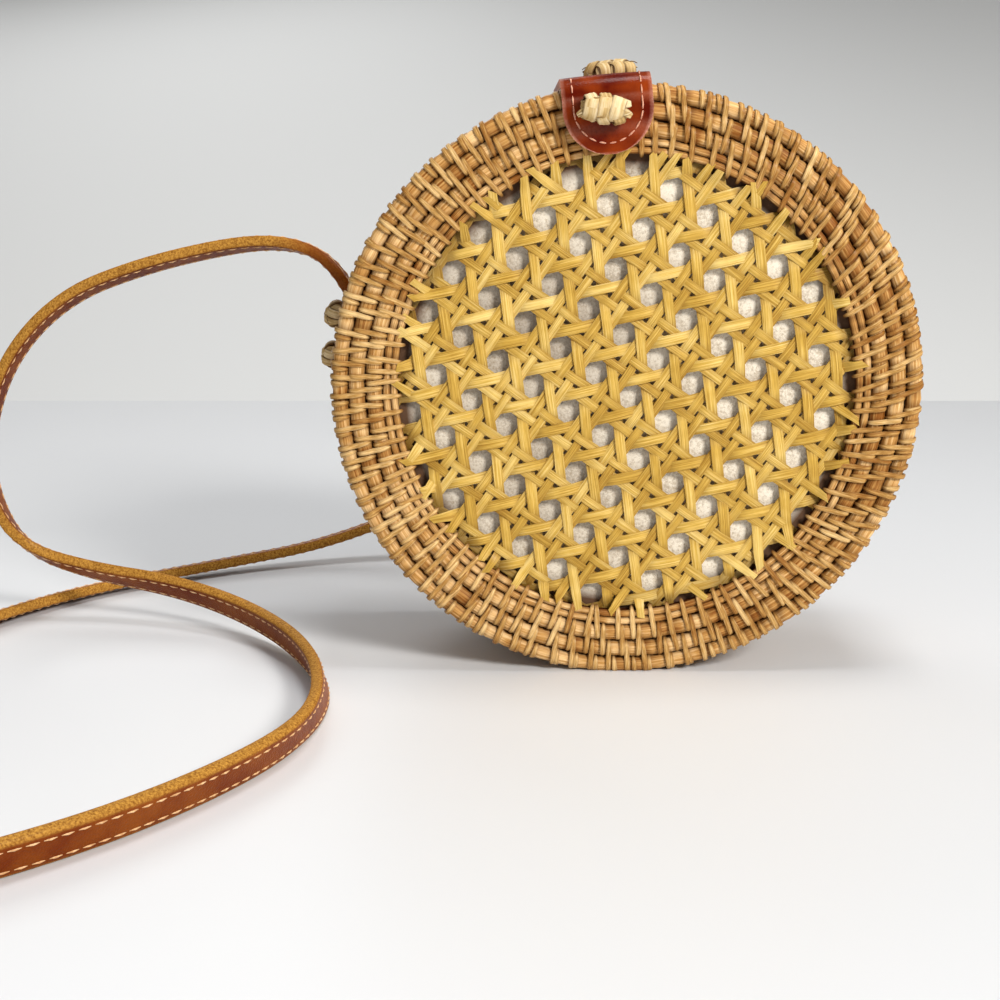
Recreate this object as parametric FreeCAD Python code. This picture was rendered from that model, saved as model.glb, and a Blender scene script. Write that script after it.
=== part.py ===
import FreeCAD, Part
import math
import os

from FreeCAD import Vector

# Round two-part rattan shoulder bag, in millimetres.
# The bag stands on its rim: +Z is up, the front face looks along -Y, and the origin is on the
# floor below the middle of the bag. Each half is modelled about the Y axis, rolled and then lifted.

# Overall sizes
bag_radius = 100.0
bag_depth = 80.0
wall = 5.0
mouth_gap = 0.6
roll_angle = 5.0
base_flat = 0.5

# Woven face ring
row_pitch = 5.7
face_rows = 3
row_ridge = 1.2
panel_seat = 2.5
panel_rebate = 3.0
fit = 0.3

# Woven side bands, each ridge a pair of coil rows
band_ridges = 3
band_ridge = 1.7

# Open cane panel
cane_thickness = 1.5
cane_pitch_a = 14.6
cane_pitch_b = 15.9
cane_angle = -40.0
cane_phase_a = 0.2
cane_phase_b = 0.1
cane_hole = 8.0
cane_border = 5.0
cane_sides = 48

# Hoop of two thin rods that binds the cane panel to the ring
hoop_width = 5.2
hoop_height = 1.6

# Fabric lining
lining_thickness = 1.0
lining_inset = 1.0
lining_sides = 48

# Knots of twisted cane
knot_width = 15.5
knot_height = 10.4
knot_depth = 8.0
knot_neck_width = 7.0
knot_neck_height = 3.0
knot_corner = 0.55
knot_levels = ((0.0, 0.78), (0.45, 1.0), (1.0, 0.62))
closure_row = 1
closure_offset = -1.5

# Leather closing tab
tab_width = 29.4
tab_thickness = 3.2
tab_gap = 0.4
tab_bend = 2.6
tab_drop = 22.5
tab_tail = 30.0
anchor_place = 16.0
anchor_offset = 6.0
slot_play = 1.0

# Strap ends on the back half
strap_width = 11.0
strap_thickness = 3.4
strap_end_length = 30.0
strap_end_angle = 13.0
strap_end_place = 20.0
strap_knot_spacing = 14.6
strap_knot_width = 12.0
strap_knot_height = 10.0

# Cane lashings that hinge the two halves at the bottom
tie_angle = 7.0
tie_width = 5.0
tie_thickness = 1.2
tie_reach = 7.0
tie_sink = 0.8

# Shoulder strap as a faceted cord of the strap's own section area
strap_cord_radius = 4.0
strap_cord_sides = 4
strap_lead = 8.0
strap_lift_left = 35.0
strap_lift_right = 0.0
corner_share = 0.45
strap_route = [
    (-112, 20, 144), (-127, 20, 147), (-146, 20, 145), (-176, 20, 138), (-205, 19, 127),
    (-227, 18, 105), (-238, 18, 76), (-238, 20, 50), (-228, 25, 29), (-203, 27, 19),
    (-168, 19, 15), (-138, 2, 9), (-114, -30, 5), (-100, -73, 4), (-102, -117, 4),
    (-121, -157, 4), (-152, -196, 4), (-194, -228, 4), (-236, -220, 4), (-262, -178, 4),
    (-266, -118, 4), (-260, -51, 4), (-243, 14, 4), (-212, 64, 4), (-168, 101, 4),
    (-118, 124, 9), (-62, 132, 32), (0, 122, 70), (45, 97, 112), (68, 71, 142),
    (82.5, 49, 159), (89.5, 32, 161),
]

half_depth = bag_depth / 2
centre_height = bag_radius - base_flat
ring_inner = bag_radius - face_rows * row_pitch
panel_radius = ring_inner + panel_rebate - fit
panel_front = half_depth - panel_seat
ring_back = half_depth - wall
lining_radius = bag_radius - wall - fit
lining_back = ring_back - lining_thickness
knot_stand = 2 * tab_gap + tab_thickness + knot_depth
middle_shift = knot_stand / 2
closure_radius = ring_inner + (closure_row + 0.5) * row_pitch
whole_bag = 4 * (bag_radius + bag_depth)
bag_axis = Vector(0, 1, 0)
bag_centre = Vector(0, 0, 0)
front = -1
back = 1


def polygon_face(points):
    return Part.Face(Part.makePolygon(points + points[:1]))


def turned(profile, side):
    # Solid of a radius and depth outline turned about the bag's axis
    points = [Vector(radius, side * depth, 0) for radius, depth in profile]
    return polygon_face(points).revolve(bag_centre, bag_axis, 360)


def round_corners(radius, sides, depth):
    # Closed ring of corners about the bag's axis, for cut cane and cloth
    corners = []
    for corner in range(sides):
        angle = 2 * math.pi * corner / sides
        corners.append(Vector(radius * math.cos(angle), depth, radius * math.sin(angle)))
    return corners + corners[:1]


def centred_box(x_size, y_size, z_size, centre):
    corner = centre - Vector(x_size / 2, y_size / 2, z_size / 2)
    return Part.makeBox(x_size, y_size, z_size, corner)


def stand(shape):
    # From the bag's own frame to its place on the floor
    placed = shape.copy()
    placed.rotate(bag_centre, bag_axis, -roll_angle)
    placed.translate(Vector(0, middle_shift, centre_height))
    return placed


def above_floor(shape):
    # The bag rests on a small flat worn along the bottom of its rim
    size = whole_bag
    room = centred_box(size, size, size, Vector(0, 0, size / 2))
    return shape.common(room)


def face_ring(side):
    # Flat ring of coil rows, each row a ridge, with a rebate behind for the cane panel
    groove = half_depth - row_ridge
    profile = [(ring_inner, groove)]
    for row in range(face_rows):
        start = ring_inner + row * row_pitch
        profile.append((start + row_pitch / 2, half_depth))
        profile.append((start + row_pitch, groove))
    profile.append((bag_radius, ring_back))
    profile.append((ring_inner + panel_rebate, ring_back))
    profile.append((ring_inner + panel_rebate, panel_front))
    profile.append((ring_inner, panel_front))
    return turned(profile, side)


def side_band(side):
    # Wall of coil rows bound in pairs, each pair a ridge
    inner = bag_radius - wall
    groove = bag_radius - band_ridge
    mouth = mouth_gap / 2
    pitch = (ring_back - mouth) / band_ridges
    profile = [(inner, mouth), (groove, mouth)]
    for ridge in range(band_ridges):
        start = mouth + ridge * pitch
        profile.append((bag_radius, start + pitch / 2))
        profile.append((groove, start + pitch))
    profile.append((inner, ring_back))
    return turned(profile, side)


def cane_panel(side):
    # Disc with the eight-sided gaps of a six-way cane weave, on a rolled square grid
    disc = Part.makePolygon(round_corners(panel_radius, cane_sides, 0))
    flat = cane_hole / 2
    corner = flat * math.tan(math.radians(22.5))
    octagon = [(flat, corner), (corner, flat), (-corner, flat), (-flat, corner),
               (-flat, -corner), (-corner, -flat), (corner, -flat), (flat, -corner)]
    along = math.radians(cane_angle)
    reach = int(ring_inner / min(cane_pitch_a, cane_pitch_b)) + 2
    gaps = []
    for i in range(-reach, reach + 1):
        for j in range(-reach, reach + 1):
            u = (i + cane_phase_a) * cane_pitch_a
            v = (j + cane_phase_b) * cane_pitch_b
            if math.hypot(u, v) > ring_inner - hoop_width - cane_border:
                continue
            points = []
            for du, dv in octagon:
                x = (u + du) * math.cos(along) + (v + dv) * math.sin(along)
                z = (u + du) * math.sin(along) - (v + dv) * math.cos(along)
                points.append(Vector(-side * x, 0, z))
            gaps.append(Part.makePolygon(points + points[:1]))
    sheet = Part.makeFace([disc] + gaps, "Part::FaceMakerBullseye")
    sheet.translate(Vector(0, side * panel_front, 0))
    return sheet.extrude(Vector(0, -side * cane_thickness, 0))


def inner_hoop(side):
    # Pair of thin rods as one ridge, laid on the panel's edge just inside the ring
    outer = ring_inner - fit
    inner = outer - hoop_width
    crest = (outer + inner) / 2
    return turned([(inner, panel_front), (outer, panel_front), (crest, panel_front + hoop_height)], side)


def cloth_drum(radius, start, end, side):
    # Cloth lies in flat runs between its stitches
    outline = Part.makePolygon(round_corners(radius, lining_sides, side * start))
    return Part.Face(outline).extrude(Vector(0, side * (end - start), 0))


def lining_disc(side):
    return cloth_drum(lining_radius, lining_back, ring_back, side)


def lining_wall(side):
    # Cloth strip inside the side band, from the disc to just short of the mouth
    inner = lining_radius - lining_thickness
    mouth = mouth_gap / 2 + lining_inset
    drum = cloth_drum(lining_radius, mouth, lining_back, side)
    return drum.cut(cloth_drum(inner, mouth, lining_back, side))


def knot_head(width, height, depth):
    # Eight-sided lump of wound cane standing up from the plane z = 0, all its faces flat
    rings = []
    for level, spread in knot_levels:
        half_width = spread * width / 2
        half_height = spread * height / 2
        cut = knot_corner * half_height
        outline = [(half_width, cut), (half_width - cut, half_height), (cut - half_width, half_height),
                   (-half_width, cut), (-half_width, -cut), (cut - half_width, -half_height),
                   (half_width - cut, -half_height), (half_width, -cut)]
        rings.append([Vector(x, y, level * depth) for x, y in outline])
    faces = [polygon_face(rings[0]), polygon_face(rings[-1])]
    for lower, upper in zip(rings, rings[1:]):
        for a, b, c, d in zip(lower, lower[1:] + lower[:1], upper[1:] + upper[:1], upper):
            faces.append(polygon_face([a, b, c, d]))
    return Part.makeSolid(Part.makeShell(faces))


def buttoned_knot():
    # A knot on a flat neck that goes through the leather of the tab
    neck_length = tab_thickness + 2 * tab_gap
    neck = centred_box(knot_neck_width, knot_neck_height, neck_length, Vector(0, 0, neck_length / 2))
    head = knot_head(knot_width, knot_height, knot_depth)
    head.translate(Vector(0, 0, neck_length))
    return neck.fuse(head).removeSplitter()


def closure_knot():
    knot = buttoned_knot()
    knot.rotate(bag_centre, Vector(1, 0, 0), 90)
    knot.translate(Vector(closure_offset, -half_depth, closure_radius))
    return knot


def tab_anchor_knot():
    knot = buttoned_knot()
    knot.translate(Vector(anchor_offset, anchor_place, bag_radius))
    return knot


def closure_tab():
    # Leather strip bent over the rim, round at both ends, with a slot for each knot
    half_width = tab_width / 2
    low = bag_radius - tab_drop
    inner_y = -half_depth - tab_gap
    outer_y = inner_y - tab_thickness
    inner_z = bag_radius + tab_gap
    outer_z = inner_z + tab_thickness
    bend_y = inner_y + tab_bend
    bend_z = inner_z - tab_bend
    outer_bend = tab_bend + tab_thickness
    turn = math.sqrt(0.5)

    def at(y, z):
        return Vector(-half_width, y, z)

    def arc(radius, start, end):
        middle = at(bend_y - radius * turn, bend_z + radius * turn)
        return Part.Arc(start, middle, end).toShape()

    inner_arc = arc(tab_bend, at(inner_y, bend_z), at(bend_y, inner_z))
    outer_arc = arc(outer_bend, at(bend_y, outer_z), at(outer_y, bend_z))
    edges = [Part.makeLine(at(inner_y, low), at(inner_y, bend_z)), inner_arc,
             Part.makeLine(at(bend_y, inner_z), at(tab_tail, inner_z)),
             Part.makeLine(at(tab_tail, inner_z), at(tab_tail, outer_z)),
             Part.makeLine(at(tab_tail, outer_z), at(bend_y, outer_z)), outer_arc,
             Part.makeLine(at(outer_y, bend_z), at(outer_y, low)),
             Part.makeLine(at(outer_y, low), at(inner_y, low))]
    strip = Part.Face(Part.Wire(edges)).extrude(Vector(tab_width, 0, 0))

    room = bag_depth + tab_tail
    flap_middle = low + half_width
    tail_middle = tab_tail - half_width
    flap_round = Part.makeCylinder(half_width, 2 * room, Vector(0, -room, flap_middle), bag_axis)
    flap_corner = Vector(-half_width, -room, flap_middle)
    flap_straight = Part.makeBox(tab_width, 2 * room, outer_z - flap_middle, flap_corner)
    tail_round = Part.makeCylinder(half_width, bag_radius, Vector(0, tail_middle, low))
    tail_corner = Vector(-half_width, tail_middle - room, low)
    tail_straight = Part.makeBox(tab_width, room, bag_radius, tail_corner)
    strip = strip.common(flap_round.fuse(flap_straight)).common(tail_round.fuse(tail_straight))

    slot_width = knot_neck_width + slot_play
    slot_height = knot_neck_height + slot_play
    through = tab_thickness + 2 * tab_gap
    front_place = Vector(closure_offset, -half_depth - through / 2, closure_radius)
    top_place = Vector(anchor_offset, anchor_place, bag_radius + through / 2)
    front_slot = centred_box(slot_width, through, slot_height, front_place)
    top_slot = centred_box(slot_width, slot_height, through, top_place)
    return strip.cut(front_slot).cut(top_slot)


def strap_end_frame(side):
    # Middle of a strap end, its way up along the rim and its way out from it
    angle = math.radians(strap_end_angle)
    out = Vector(side * math.cos(angle), 0, math.sin(angle))
    up = Vector(-side * math.sin(angle), 0, math.cos(angle))
    middle = out * (bag_radius + fit + strap_thickness / 2) + Vector(0, strap_end_place, 0)
    return middle, up, out


def lay_on_rim(shape, side, distance, height):
    # A shape drawn standing on z = 0 is set on the strap end, its x along the rim
    middle, up, out = strap_end_frame(side)
    place = middle + up * distance + out * height
    across = out.cross(up)
    matrix = FreeCAD.Matrix(up.x, across.x, out.x, place.x, up.y, across.y, out.y, place.y,
                            up.z, across.z, out.z, place.z, 0, 0, 0, 1)
    placed = shape.copy()
    placed.Placement = FreeCAD.Placement(matrix)
    return placed


def strap_end(side):
    plate = centred_box(strap_end_length, strap_width, strap_thickness, Vector(0, 0, 0))
    return lay_on_rim(plate, side, 0, 0)


def strap_knots(side):
    head = knot_head(strap_knot_height, strap_knot_width, knot_depth)
    places = (-strap_knot_spacing / 2, strap_knot_spacing / 2)
    return Part.makeCompound([lay_on_rim(head, side, place, strap_thickness / 2) for place in places])


def at_hinge(shape):
    # The same shape at both lashings, either side of the bottom
    copies = []
    for turn in (-tie_angle, tie_angle):
        copy = shape.copy()
        copy.rotate(bag_centre, bag_axis, turn)
        copies.append(copy)
    return copies


def hinge_lashings():
    outside = bag_radius - tie_sink
    inside = lining_radius - lining_thickness - fit - tie_thickness
    height = outside - inside
    middle = Vector(0, 0, -(outside + inside) / 2)
    loop = centred_box(tie_width, 2 * tie_reach, height, middle)
    opening = centred_box(2 * tie_width, 2 * (tie_reach - tie_thickness), height - 2 * tie_thickness, middle)
    return Part.makeCompound(at_hinge(loop.cut(opening)))


def lashing_room():
    # Shallow notch outside and a slot through the wall for each leg of a lashing
    width = tie_width + 2 * fit
    depth = tie_sink + tie_thickness + fit
    notch = centred_box(width, 2 * (tie_reach + fit), 2 * depth, Vector(0, 0, -bag_radius))
    leg = tie_thickness + 2 * fit
    through_wall = 2 * (wall + fit + lining_thickness + fit)
    rooms = [notch]
    for side in (front, back):
        leg_y = side * (tie_reach - tie_thickness / 2)
        rooms.append(centred_box(width, leg, through_wall, Vector(0, leg_y, -bag_radius)))
    return at_hinge(rooms[0].fuse(rooms[1:]))


def strap_cord():
    # Straight runs with a tangent arc at each corner, swept by a faceted section
    ends = []
    for side, lift_angle in ((-1, strap_lift_left), (1, strap_lift_right)):
        middle, up, out = strap_end_frame(side)
        lift = math.radians(lift_angle)
        tip = middle + up * (strap_end_length / 2)
        away = up * math.cos(lift) + out * math.sin(lift)
        start = tip + away * (math.sin(lift) * strap_thickness / 2 + fit)
        lead = tip + away * strap_lead
        ends.append((stand(Part.Vertex(start)).Point, stand(Part.Vertex(lead)).Point))
    between = [Vector(x, y + middle_shift, z) for x, y, z in strap_route]
    points = [ends[0][0], ends[0][1]] + between + [ends[1][1], ends[1][0]]
    edges = []
    radii = []
    here = points[0]
    for before, corner, after in zip(points, points[1:], points[2:]):
        back_way = (before - corner).normalize()
        on_way = (after - corner).normalize()
        tangent = corner_share * min((before - corner).Length, (after - corner).Length)
        half = back_way.getAngle(on_way) / 2
        radius = tangent * math.tan(half)
        inward = (back_way + on_way).normalize()
        start = corner + back_way * tangent
        end = corner + on_way * tangent
        middle = corner + inward * (tangent / math.cos(half) - radius)
        edges.append(Part.makeLine(here, start))
        edges.append(Part.Arc(start, middle, end).toShape())
        radii.append(radius)
        here = end
    edges.append(Part.makeLine(here, points[-1]))
    path = Part.Wire(edges)
    along = (points[1] - points[0]).normalize()
    across = bag_axis
    upright = along.cross(across)
    section = []
    for corner in range(strap_cord_sides):
        angle = 2 * math.pi * corner / strap_cord_sides
        spoke = across * math.cos(angle) + upright * math.sin(angle)
        section.append(points[0] + spoke * strap_cord_radius)
    cord = path.makePipeShell([Part.makePolygon(section + section[:1])], True, False)
    area = 0.5 * strap_cord_sides * strap_cord_radius ** 2 * math.sin(2 * math.pi / strap_cord_sides)
    print("strap length %.1f mm" % path.Length)
    print("strap volume over section times length %.4f" % (cord.Volume / (area * path.Length)))
    print("strap radii", " ".join("%.0f" % radius for radius in radii))
    return cord


def build():
    rooms = lashing_room()
    nodes = {}
    for name, side in (("front", front), ("back", back)):
        nodes[name + "_face_ring"] = above_floor(stand(face_ring(side)))
        nodes[name + "_side_band"] = above_floor(stand(side_band(side).cut(rooms)))
        nodes[name + "_cane_panel"] = stand(cane_panel(side))
        nodes[name + "_inner_hoop"] = stand(inner_hoop(side))
        nodes[name + "_lining_disc"] = stand(lining_disc(side))
        nodes[name + "_lining_wall"] = stand(lining_wall(side).cut(rooms))
    nodes["hinge_lashings"] = stand(hinge_lashings())
    nodes["closure_knot"] = stand(closure_knot())
    nodes["tab_anchor_knot"] = stand(tab_anchor_knot())
    nodes["closure_tab"] = stand(closure_tab())
    for name, side in (("left", -1), ("right", 1)):
        nodes[name + "_strap_end"] = stand(strap_end(side))
        nodes[name + "_strap_knots"] = stand(strap_knots(side))
    nodes["shoulder_strap"] = strap_cord()
    return nodes


os.makedirs("parts", exist_ok=True)
for node_name, node_shape in build().items():
    node_shape.exportStep("parts/%s.step" % node_name)
    box = node_shape.BoundBox
    print("%-18s %d solids, valid %s, %.0f mm3, x %.1f..%.1f y %.1f..%.1f z %.1f..%.1f" % (
        node_name, len(node_shape.Solids), node_shape.isValid(), node_shape.Volume,
        box.XMin, box.XMax, box.YMin, box.YMax, box.ZMin, box.ZMax))
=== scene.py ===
import bpy
import math
import random
import numpy as np
from mathutils import Matrix, Vector


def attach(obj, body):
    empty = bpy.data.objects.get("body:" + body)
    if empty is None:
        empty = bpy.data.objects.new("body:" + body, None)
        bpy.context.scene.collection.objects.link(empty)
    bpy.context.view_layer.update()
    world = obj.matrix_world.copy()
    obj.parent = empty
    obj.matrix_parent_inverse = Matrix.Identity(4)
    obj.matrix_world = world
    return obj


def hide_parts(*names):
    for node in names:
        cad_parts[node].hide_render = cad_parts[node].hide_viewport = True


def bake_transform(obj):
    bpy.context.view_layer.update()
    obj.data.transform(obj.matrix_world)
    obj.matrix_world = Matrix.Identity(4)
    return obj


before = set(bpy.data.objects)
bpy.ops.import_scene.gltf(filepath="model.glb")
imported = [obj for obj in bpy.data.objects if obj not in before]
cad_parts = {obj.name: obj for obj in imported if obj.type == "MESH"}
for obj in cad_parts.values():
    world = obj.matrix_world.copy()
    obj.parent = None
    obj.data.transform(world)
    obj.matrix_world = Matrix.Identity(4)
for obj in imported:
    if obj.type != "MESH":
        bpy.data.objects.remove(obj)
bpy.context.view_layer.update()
scene = bpy.context.scene
scene.view_settings.view_transform = "Standard"
mm = 0.001
front = -1  # the face with the tab looks along -Y
back = 1

bag = {"middle": (0.0, 6.0, 99.5), "roll": -5.0, "floor": 0.05}  # mm and degrees, as the solids stand
bagPlace = Matrix.Translation(Vector(bag["middle"]) * mm) @ Matrix.Rotation(math.radians(bag["roll"]), 4, "Y")


def deselectAll():
    if bpy.context.mode != "OBJECT":
        bpy.ops.object.mode_set(mode="OBJECT")
    bpy.ops.object.select_all(action="DESELECT")


def pick(obj):
    deselectAll()
    obj.select_set(True)
    bpy.context.view_layer.objects.active = obj
    return obj


def applyMods(obj):
    pick(obj)
    for name in [m.name for m in obj.modifiers]:
        bpy.ops.object.modifier_apply(modifier=name)
    return obj


def settle(obj):  # place, turn and scale go into the mesh
    pick(obj)
    bpy.ops.object.transform_apply(location=True, rotation=True, scale=True)
    return obj


def ontoBag(obj):  # from the bag's own axes to where it stands
    obj.matrix_world = bagPlace @ obj.matrix_world
    return settle(obj)


def restOnFloor(obj):  # nothing goes below the floor: rattan is worn flat there, and leather lies on it
    p = readPoints(obj)
    p[:, 2] = np.maximum(p[:, 2], bag["floor"] * mm)
    writePoints(obj, p)
    return obj


def joinAs(objs, name):
    deselectAll()
    for o in objs:
        o.select_set(True)
    bpy.context.view_layer.objects.active = objs[0]
    if len(objs) > 1:
        bpy.ops.object.join()
    one = bpy.context.view_layer.objects.active
    one.name = name
    one.data.name = name
    return one


def readPoints(obj):
    flat = np.empty(len(obj.data.vertices) * 3, np.float32)
    obj.data.vertices.foreach_get("co", flat)
    return flat.reshape(-1, 3).astype(float)


def readNormals(obj):
    flat = np.empty(len(obj.data.vertices) * 3, np.float32)
    obj.data.vertices.foreach_get("normal", flat)
    return flat.reshape(-1, 3)


def writePoints(obj, points):
    obj.data.vertices.foreach_set("co", np.asarray(points, np.float32).ravel())
    obj.data.update()


def writeTone(obj, values, name="tone"):
    tone = obj.data.attributes.get(name) or obj.data.attributes.new(name, "FLOAT", "POINT")
    tone.data.foreach_set("value", np.asarray(values, np.float32))


def writeUv(obj, across, along):  # one value of each for every point
    layer = obj.data.uv_layers.active or obj.data.uv_layers.new(name="UVMap")
    index = np.empty(len(obj.data.loops), np.int32)
    obj.data.loops.foreach_get("vertex_index", index)
    layer.data.foreach_set("uv", np.stack([across[index], along[index]], 1).astype(np.float32).ravel())


def addGrid(stepsAcross, stepsAlong):  # flat sheet, returns it with its across and along shares
    deselectAll()
    bpy.ops.mesh.primitive_grid_add(x_subdivisions=stepsAcross, y_subdivisions=stepsAlong, size=1.0)
    sheet = bpy.context.active_object
    p = readPoints(sheet)
    return sheet, p[:, 0] * 2, p[:, 1] + 0.5


def unit(rows):  # each row made one long
    return rows / np.linalg.norm(rows, axis=1)[:, None]


def wayGone(line):  # length of the line up to each of its points
    return np.concatenate([[0], np.cumsum(np.linalg.norm(np.diff(line, axis=0), axis=1))])


def roundBag(radius, depth, angle):  # mm and radians from the top, to places in the bag's own axes
    return np.stack([radius * np.sin(angle), depth, radius * np.cos(angle)], 1) * mm


def smoothWay(points, t):  # soft curve through a few points, read at shares t of its length
    p = np.asarray(points, float)
    ends = np.vstack([2 * p[0] - p[1], p, 2 * p[-1] - p[-2]])
    u = np.linspace(0, 1, 12, endpoint=False)[:, None]
    dense = []
    for a, b, c, d in zip(ends, ends[1:], ends[2:], ends[3:]):
        square = (2 * a - 5 * b + 4 * c - d) * u ** 2
        cube = (3 * b - a - 3 * c + d) * u ** 3
        dense.append(0.5 * (2 * b + (c - a) * u + square + cube))
    dense = np.vstack(dense + [p[-1:]])
    run = wayGone(dense)
    at = np.asarray(t) * run[-1]
    return np.stack([np.interp(at, run, dense[:, k]) for k in range(p.shape[1])], 1), run[-1]


def softShade(obj, angle=40):
    pick(obj)
    bpy.ops.object.shade_smooth_by_angle(angle=math.radians(angle))
    return obj


def closeShell(obj, merge=0.02, fillEnds=False):  # doubles merged, faces turned outwards
    pick(obj)
    bpy.ops.object.mode_set(mode="EDIT")
    bpy.ops.mesh.select_all(action="SELECT")
    bpy.ops.mesh.remove_doubles(threshold=merge * mm)
    if fillEnds:
        bpy.ops.mesh.select_all(action="DESELECT")
        bpy.ops.mesh.select_mode(type="EDGE")
        bpy.ops.mesh.select_non_manifold()
        bpy.ops.mesh.fill_holes(sides=0)
        bpy.ops.mesh.select_all(action="SELECT")
    bpy.ops.mesh.normals_make_consistent(inside=False)
    bpy.ops.object.mode_set(mode="OBJECT")


def thicken(obj, thickness, offset=0):
    wall = obj.modifiers.new("thick", "SOLIDIFY")
    wall.thickness = thickness * mm
    wall.offset = offset
    return applyMods(obj)


def dress(obj, material):
    obj.data.materials.clear()
    obj.data.materials.append(material)


def give(obj, material, body, slot, *nodes):
    dress(obj, material)
    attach(obj, body)
    if nodes:
        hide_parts(*nodes)


# Camera as the photograph was taken: a short lens a little above the strap, looking down
cameraSet = {"place": (-43, -538, 162), "down": 11.3, "lens": 54.0}
camData = bpy.data.cameras.new("photoCamera")
camera = bpy.data.objects.new("photoCamera", camData)
scene.collection.objects.link(camera)
camData.sensor_width = 36.0
camData.lens = cameraSet["lens"]
camData.clip_start = 0.01
camera.location = Vector(cameraSet["place"]) * mm
camera.rotation_euler = (math.radians(90 - cameraSet["down"]), 0, 0)
scene.camera = camera
print("camera set")


# Finishes
def startFinish(name):
    m = bpy.data.materials.new(name)
    m.use_nodes = True
    nodes = m.node_tree.nodes
    return m, nodes, m.node_tree.links, nodes["Principled BSDF"]


def addNode(nodes, kind, **values):
    n = nodes.new(kind)
    for key, value in values.items():
        if key in n.inputs:
            n.inputs[key].default_value = value
        else:
            setattr(n, key, value)
    return n


def setInputs(node, values):
    for key, value in values.items():
        node.inputs[key].default_value = value


def addRamp(nodes, stops):
    n = nodes.new("ShaderNodeValToRGB")
    while len(n.color_ramp.elements) < len(stops):
        n.color_ramp.elements.new(0.5)
    for element, (place, colour) in zip(n.color_ramp.elements, stops):
        element.position = place
        element.color = (*colour, 1)
    return n


def addPaintedShade(nodes, links, shader, ramp, seam):  # painted shade: the colour given as seam shows where the lit attribute is 0
    lit = addNode(nodes, "ShaderNodeAttribute", attribute_name="lit")
    mix = addNode(nodes, "ShaderNodeMix", data_type="RGBA")
    mix.inputs["A"].default_value = (*seam, 1)
    links.new(lit.outputs["Fac"], mix.inputs["Factor"])
    links.new(ramp.outputs["Color"], mix.inputs["B"])
    links.new(mix.outputs["Result"], shader.inputs["Base Color"])


def addRelief(nodes, links, shader, height, strength, distance):
    relief = addNode(nodes, "ShaderNodeBump", Strength=strength, Distance=distance * mm)
    links.new(height, relief.inputs["Height"])
    links.new(relief.outputs["Normal"], shader.inputs["Normal"])


def caneFinish(name, dark, middle, light, seam, stretch, blotch, gloss, coat, bump, ownLines=37.0):
    # Split cane: fine lines along its length, blotches, a tone for each strand, and painted shade in the
    # seams where the lit attribute is low
    m, nodes, links, shader = startFinish(name)
    place = addNode(nodes, "ShaderNodeTexCoord")
    tone = addNode(nodes, "ShaderNodeAttribute", attribute_name="tone")
    turn = addNode(nodes, "ShaderNodeMapping", Scale=stretch)
    lines = addNode(nodes, "ShaderNodeTexNoise", noise_dimensions="4D", Scale=1.0, Detail=4.0, Roughness=0.6)
    spots = addNode(nodes, "ShaderNodeTexNoise", Scale=blotch, Detail=3.0, Roughness=0.55)
    own = addNode(nodes, "ShaderNodeMath", operation="MULTIPLY")
    own.inputs[1].default_value = ownLines  # no two strands share their lines
    links.new(tone.outputs["Fac"], own.inputs[0])
    links.new(own.outputs[0], lines.inputs["W"])
    links.new(place.outputs["UV"], turn.inputs["Vector"])
    links.new(turn.outputs["Vector"], lines.inputs["Vector"])
    links.new(place.outputs["Object"], spots.inputs["Vector"])
    shares = ((lines, 1.3), (spots, 0.5), (tone, 0.5))
    total = None
    for source, share in shares:
        step = addNode(nodes, "ShaderNodeMath", operation="MULTIPLY_ADD")
        step.inputs[1].default_value = share
        links.new(source.outputs["Fac"], step.inputs[0])
        if total:
            links.new(total.outputs[0], step.inputs[2])
        else:
            step.inputs[2].default_value = 0.5 - sum(much for _, much in shares) / 2  # 0.5 on the whole
        total = step
    ramp = addRamp(nodes, [(0.22, dark), (0.50, middle), (0.80, light)])
    links.new(total.outputs[0], ramp.inputs["Fac"])
    addPaintedShade(nodes, links, shader, ramp, seam)
    rough = addNode(nodes, "ShaderNodeMapRange")
    setInputs(rough, {"From Min": 0.3, "From Max": 0.7, "To Min": gloss - 0.07, "To Max": gloss + 0.12})
    links.new(lines.outputs["Fac"], rough.inputs["Value"])
    links.new(rough.outputs["Result"], shader.inputs["Roughness"])
    setInputs(shader, {"Specular IOR Level": 0.14, "Coat Weight": coat, "Coat Roughness": 0.25})
    addRelief(nodes, links, shader, lines.outputs["Fac"], bump, 0.4)
    return m


rodFinish = caneFinish(
    "coiledRattan", dark=(0.25, 0.083, 0.011), middle=(0.53, 0.272, 0.074), light=(0.86, 0.57, 0.265),
    seam=(0.055, 0.011, 0.001), stretch=(36, 24, 1), blotch=70.0, gloss=0.48, coat=0.0, bump=0.6,
    ownLines=0.6)
stripFinish = caneFinish(
    "bindingCane", dark=(0.31, 0.125, 0.020), middle=(0.55, 0.305, 0.085), light=(0.84, 0.57, 0.25),
    seam=(0.075, 0.018, 0.002), stretch=(2.4, 240, 1), blotch=90.0, gloss=0.42, coat=0.08, bump=0.5)
webFinish = caneFinish(
    "goldenCane", dark=(0.38, 0.20, 0.022), middle=(0.645, 0.40, 0.070), light=(0.90, 0.66, 0.225),
    seam=(0.13, 0.052, 0.006), stretch=(4.5, 55, 1), blotch=75.0, gloss=0.38, coat=0.12, bump=0.6)
knotFinish = caneFinish(
    "paleKnotCane", dark=(0.34, 0.19, 0.055), middle=(0.60, 0.41, 0.17), light=(0.86, 0.69, 0.41),
    seam=(0.07, 0.022, 0.005), stretch=(9, 60, 1), blotch=260.0, gloss=0.55, coat=0.0, bump=0.9)


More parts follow.
